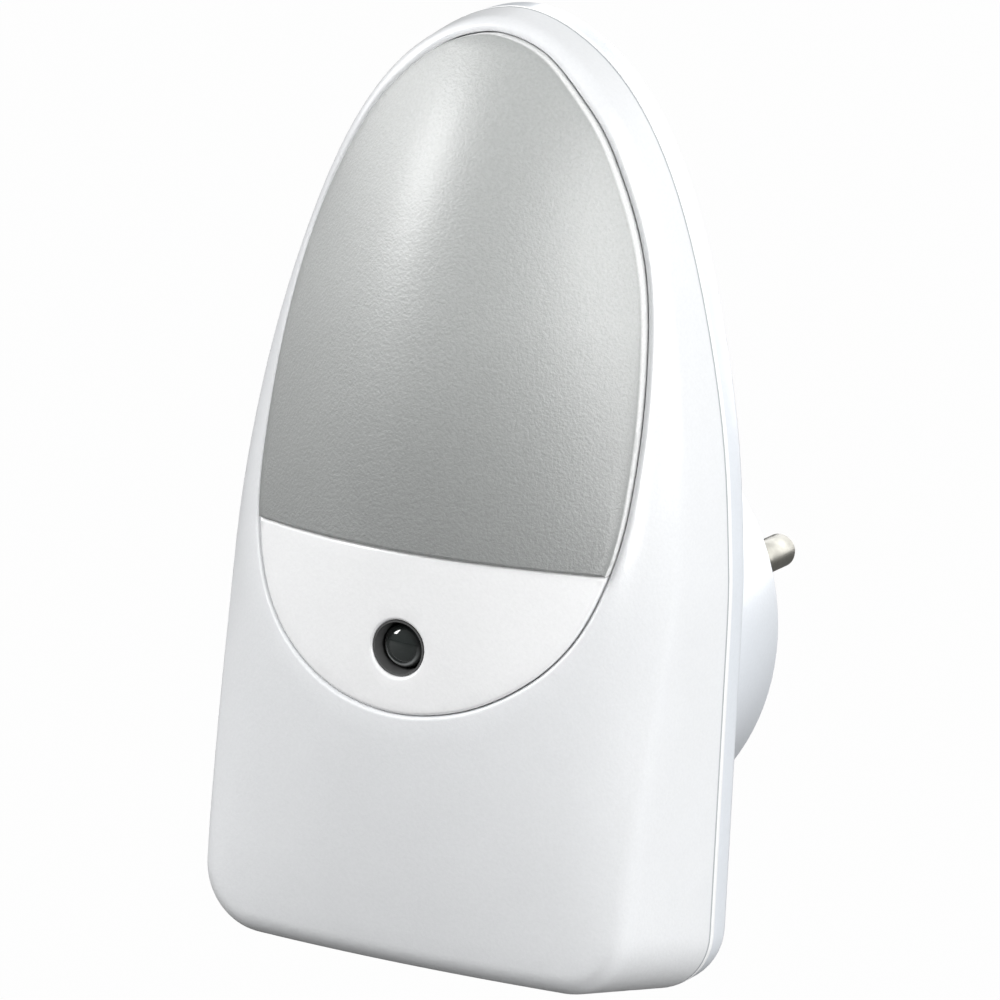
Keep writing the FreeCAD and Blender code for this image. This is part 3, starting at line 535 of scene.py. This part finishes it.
class NIGHT_OT_stage(bpy.types.Operator):
    """Floor, soft lamps, white surroundings and the camera"""

    bl_idname = "night.stage"
    bl_label = "Stage"

    def execute(self, context):
        sizes = context.scene.night_sizes
        self.floor(sizes)
        self.lamps()
        self.surroundings(context.scene)
        self.camera(context.scene)
        return {"FINISHED"}

    def floor(self, sizes):
        mesh = bmesh.new()
        bmesh.ops.create_grid(mesh, x_segments=1, y_segments=1, size=sizes.floor_half)
        bmesh.ops.translate(mesh, verts=mesh.verts[:], vec=(0, 0, BASE_Z - sizes.floor_drop))
        data = bpy.data.meshes.new("floor")
        mesh.to_mesh(data)
        mesh.free()
        made = bpy.data.objects.new("floor", data)
        bpy.context.scene.collection.objects.link(made)
        finish, tree, shader, _ = bare_material("floor_white", 0.8)
        shader.inputs["Base Color"].default_value = (FLOOR_GREY, FLOOR_GREY, FLOOR_GREY, 1.0)
        glow = node(tree, "ShaderNodeEmission", Strength=1.0)
        rays = node(tree, "ShaderNodeLightPath")
        part = node(tree, "ShaderNodeMath", operation="MULTIPLY")
        part.inputs[1].default_value = FLOOR_GLOW
        tree.links.new(rays.outputs["Is Camera Ray"], part.inputs[0])
        mix = node(tree, "ShaderNodeMixShader")
        tree.links.new(part.outputs[0], mix.inputs[0])
        tree.links.new(shader.outputs[0], mix.inputs[1])
        tree.links.new(glow.outputs[0], mix.inputs[2])
        out = next(item for item in tree.nodes if item.type == "OUTPUT_MATERIAL")
        tree.links.new(mix.outputs[0], out.inputs["Surface"])
        data.materials.append(finish)

    def lamps(self):
        """Two tall soft lamps in front, wide ones at both sides, above and behind."""
        aim = Vector(LAMP_AIM)
        for name, turn, rise, far, width, height, power in LAMPS:
            turn, rise = math.radians(turn), math.radians(rise)
            toward = Vector((math.sin(turn) * math.cos(rise), -math.cos(turn) * math.cos(rise),
                             math.sin(rise)))
            light = bpy.data.lights.new(name, "AREA")
            light.shape = "RECTANGLE"
            light.size = width
            light.size_y = height
            light.energy = power
            made = bpy.data.objects.new(name, light)
            bpy.context.scene.collection.objects.link(made)
            made.location = aim + toward * far
            made.rotation_euler = toward.to_track_quat("Z", "Y").to_euler()

    def surroundings(self, scene):
        world = bpy.data.worlds.new("white_room")
        scene.world = world
        world.use_nodes = True
        tree = world.node_tree
        back = next(item for item in tree.nodes if item.type == "BACKGROUND")
        back.inputs["Color"].default_value = (1.0, 1.0, 1.0, 1.0)
        rays = node(tree, "ShaderNodeLightPath")
        strength = map_range(tree, rays.outputs["Is Camera Ray"], first=ROOM_LIGHT)
        tree.links.new(strength, back.inputs["Strength"])
        scene.view_settings.view_transform = "Standard"

    def camera(self, scene):
        turn, lift, roll = (math.radians(angle) for angle in CAMERA_ANGLES)
        right = Vector((math.cos(turn), math.sin(turn), 0.0))
        ahead = Vector((-math.sin(turn) * math.cos(lift), math.cos(turn) * math.cos(lift),
                        -math.sin(lift)))
        up = right.cross(ahead)
        side = right * math.cos(roll) + up * math.sin(roll)
        rise = up * math.cos(roll) - right * math.sin(roll)
        place = (side * CAMERA_ACROSS + rise * CAMERA_UP - ahead * CAMERA_BACK
                 + Vector((0.0, SEAM_Y, 0.0)))
        lens = bpy.data.cameras.new("camera")
        lens.sensor_width = FILM_WIDTH
        lens.lens = FOCAL_SHARE * FILM_WIDTH
        lens.clip_start = 0.05
        made = bpy.data.objects.new("camera", lens)
        scene.collection.objects.link(made)
        rows = Matrix((side, rise, -ahead)).transposed()
        made.matrix_world = Matrix.Translation(place) @ rows.to_4x4()
        scene.camera = made


class NIGHT_OT_cover(bpy.types.Operator):
    """Front cover, sensor panel and rear casing in white plastic"""

    bl_idname = "night.cover"
    bl_label = "Cover and casing"

    def execute(self, context):
        refined("front_cover", shell_white("cover_white"))
        refined("rear_casing", shell_white("casing_white"))
        refined("sensor_panel", shell_white("panel_white"))
        return {"FINISHED"}


class NIGHT_OT_lens(bpy.types.Operator):
    """Frosted lens"""

    bl_idname = "night.lens"
    bl_label = "Lens"

    def execute(self, context):
        finish = material("lens", lens_frost, context.scene.night_finish)
        refined("lens", finish)
        return {"FINISHED"}


class NIGHT_OT_sensor(bpy.types.Operator):
    """Dark sensor dome and its light shield"""

    bl_idname = "night.sensor"
    bl_label = "Sensor"

    def execute(self, context):
        colours = context.scene.night_finish
        self.dome(material("resin", dark_resin, colours))
        dark = material("shield", grained, "dark_shield", colours.shield, (0.07, 0.07, 0.07), 0.5)
        refined("sensor_shield", dark)
        return {"FINISHED"}

    def dome(self, finish):
        """Blunt clear dome with a flange, spun round its own axis."""
        low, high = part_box("sensor_dome")
        flange = 0.5 * (high[0] - low[0])
        barrel = flange - FLANGE_STEP
        points = [(share * barrel, low[1] + depth * MM) for share, depth in DOME_PROFILE]
        points += [(flange, points[-1][1]), (flange, high[1]), (0.0, high[1])]
        mesh = bmesh.new()
        rim = [mesh.verts.new((across, along, SENSOR_Z)) for across, along in points]
        edges = [mesh.edges.new(pair) for pair in zip(rim, rim[1:])]
        bmesh.ops.spin(
            mesh, geom=rim + edges, cent=(0.0, 0.0, SENSOR_Z), axis=(0.0, 1.0, 0.0),
            dvec=(0.0, 0.0, 0.0), angle=math.tau, steps=64, use_merge=True,
        )
        bmesh.ops.remove_doubles(mesh, verts=mesh.verts[:], dist=WELD)
        bmesh.ops.recalc_face_normals(mesh, faces=mesh.faces[:])
        smooth_by_angle(mesh, 40.0)
        new_piece("sensor_dome_skin", mesh, finish, ("sensor_dome",))


class NIGHT_OT_plug(bpy.types.Operator):
    """Plug body, pins, sleeves and the plate that holds them"""

    bl_idname = "night.plug"
    bl_label = "Plug"

    def execute(self, context):
        colours = context.scene.night_finish
        white = material(
            "plug_white", grained, "plug_white", colours.plug, colours.plug_shade, 0.42,
        )
        refined("plug_body", white)
        nickel = material("nickel", plated, "nickel", colours.nickel, 0.34)
        sleeve = material(
            "sleeve", grained, "sleeve_plastic", colours.sleeve, (0.05, 0.05, 0.05), 0.45
        )
        for side in ("left", "right"):
            refined("pin_" + side, nickel)
            refined("sleeve_" + side, sleeve)
        black = material(
            "black", grained, "black_epoxy", (0.02, 0.02, 0.02), (0.03, 0.03, 0.03), 0.5
        )
        paint(["pin_clamp"], black)
        return {"FINISHED"}


class NIGHT_OT_inside(bpy.types.Operator):
    """Board, lamps, reflector and the parts on the board"""

    bl_idname = "night.inside"
    bl_label = "Inside"

    def execute(self, context):
        colours = context.scene.night_finish
        paint(["circuit_board"], material("board", board_lacquer, colours))
        tin = material("tin", plated, "tinned_wire", (0.72, 0.72, 0.72), 0.3)
        paint(["sensor_leads", "led_leads", "component_leads"], tin)
        steel = material("steel", plated, "screw_steel", (0.55, 0.55, 0.56), 0.35)
        paint(["clamp_screws", "casing_screws", "board_screws"], steel)
        black = MATERIALS["black"]
        paint(["rectifier", "transistor"], black)
        for names, key, first, second, rough in (
            (["leds"], "led_resin", (0.8, 0.8, 0.72), (0.75, 0.76, 0.6), 0.1),
            (["reflector"], "reflector_white", (0.85, 0.85, 0.83), (0.8, 0.8, 0.78), 0.5),
            (["dropper_capacitor"], "capacitor_box", (0.6, 0.42, 0.05), (0.55, 0.38, 0.05), 0.4),
            (["smoothing_capacitor"], "can_sleeve", (0.02, 0.03, 0.07), (0.03, 0.04, 0.08), 0.3),
            (["resistors"], "resistor_coat", (0.14, 0.3, 0.4), (0.1, 0.25, 0.34), 0.35),
            (["fusible_resistor"], "fuse_coat", (0.3, 0.22, 0.13), (0.26, 0.2, 0.12), 0.6),
            (["wire_left"], "wire_brown", (0.09, 0.03, 0.012), (0.07, 0.025, 0.01), 0.4),
            (["wire_right"], "wire_blue", (0.01, 0.04, 0.22), (0.01, 0.035, 0.18), 0.4),
        ):
            paint(names, material(key, grained, key, first, second, rough))
        return {"FINISHED"}


class NIGHT_PT_panel(bpy.types.Panel):
    """Buttons that build the night light's pieces"""

    bl_idname = "NIGHT_PT_panel"
    bl_label = "Night Light"
    bl_space_type = "VIEW_3D"
    bl_region_type = "UI"
    bl_category = "Night Light"

    def draw(self, context):
        for kind in OPERATORS:
            self.layout.operator(kind.bl_idname)
        for group in (context.scene.night_finish, context.scene.night_sizes):
            for key in group.bl_rna.properties.keys():
                if key not in ("rna_type", "name"):
                    self.layout.prop(group, key)


OPERATORS = (
    NIGHT_OT_stage,
    NIGHT_OT_cover,
    NIGHT_OT_lens,
    NIGHT_OT_sensor,
    NIGHT_OT_plug,
    NIGHT_OT_inside,
)
CLASSES = (NightLightFinish, NightLightSizes, *OPERATORS, NIGHT_PT_panel)


def register():
    for kind in CLASSES:
        bpy.utils.register_class(kind)
    bpy.types.Scene.night_finish = PointerProperty(type=NightLightFinish)
    bpy.types.Scene.night_sizes = PointerProperty(type=NightLightSizes)


def unregister():
    del bpy.types.Scene.night_sizes
    del bpy.types.Scene.night_finish
    for kind in reversed(CLASSES):
        bpy.utils.unregister_class(kind)


def main():
    register()
    for kind in OPERATORS:
        group, word = kind.bl_idname.split(".")
        getattr(getattr(bpy.ops, group), word)()


if __name__ == "__main__":
    main()
